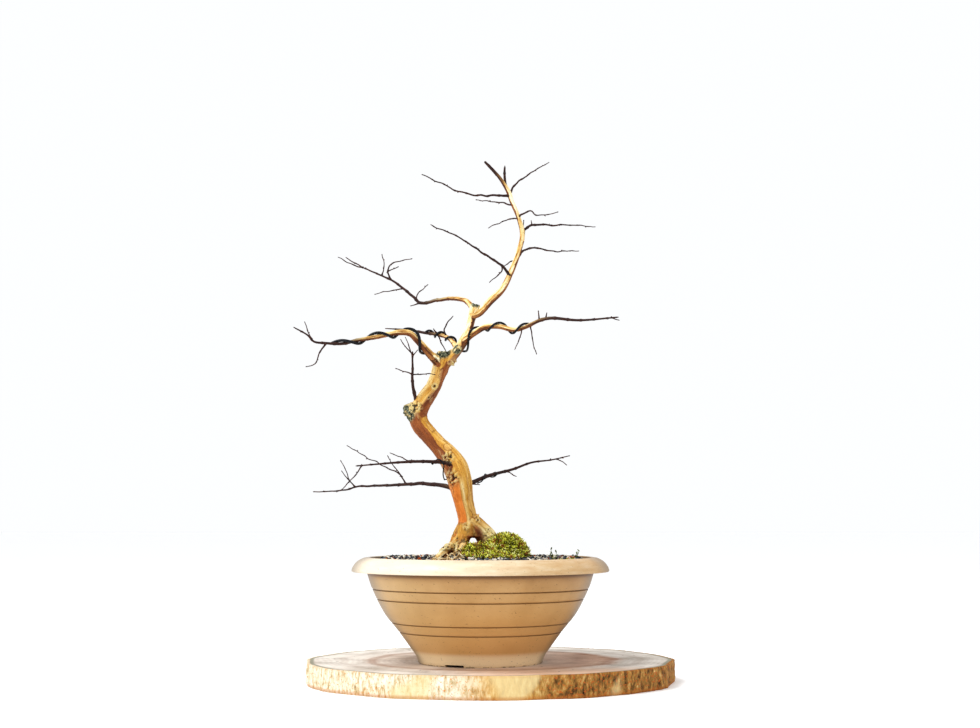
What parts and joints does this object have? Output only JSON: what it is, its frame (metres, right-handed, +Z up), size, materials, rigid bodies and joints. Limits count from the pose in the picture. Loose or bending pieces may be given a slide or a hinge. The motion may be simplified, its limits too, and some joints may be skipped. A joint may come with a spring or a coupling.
{
  "type": "bonsai tree in a pot",
  "caption": "Bare winter bonsai with a curving trunk and wired boughs, in a round grooved bowl with grit and moss, standing on a slice of log.",
  "frame": {"origin": "on the underside of the log slice, straight below the pot's axis", "axes": "+Z up along the pot's axis; the tree's front faces -Y, and its lower trunk leans towards -X"},
  "size_m": [0.3729, 0.3388, 0.5257],
  "materials": {
    "log_wood": "matte",
    "pot_plastic": "satin",
    "soil_grit": "rough",
    "tree_bark": "satin",
    "moss": "matte",
    "screen_mesh": "matte",
    "clip_wire": "satin",
    "stones": "rough",
    "weeds": "matte",
    "training_wire": "satin"
  },
  "bodies": {
    "root": {"log_slice": "log_wood", "pot": "pot_plastic", "soil": "soil_grit", "bonsai_tree": "tree_bark", "moss_mound": "moss", "moss_front": "moss", "moss_patch": "moss", "drain_screen_1": "screen_mesh", "drain_screen_2": "screen_mesh", "drain_screen_3": "screen_mesh", "screen_clip_1": "clip_wire", "screen_clip_2": "clip_wire", "screen_clip_3": "clip_wire", "loose_stone_1": "stones", "loose_stone_2": "stones", "loose_stone_3": "stones", "loose_stone_4": "stones", "loose_stone_5": "stones", "loose_stone_6": "stones", "weed_1": "weeds", "weed_2": "weeds", "left_bough_wire": "training_wire", "pair_wire": "training_wire", "low_wire": "training_wire"}
  },
  "joints": []
}
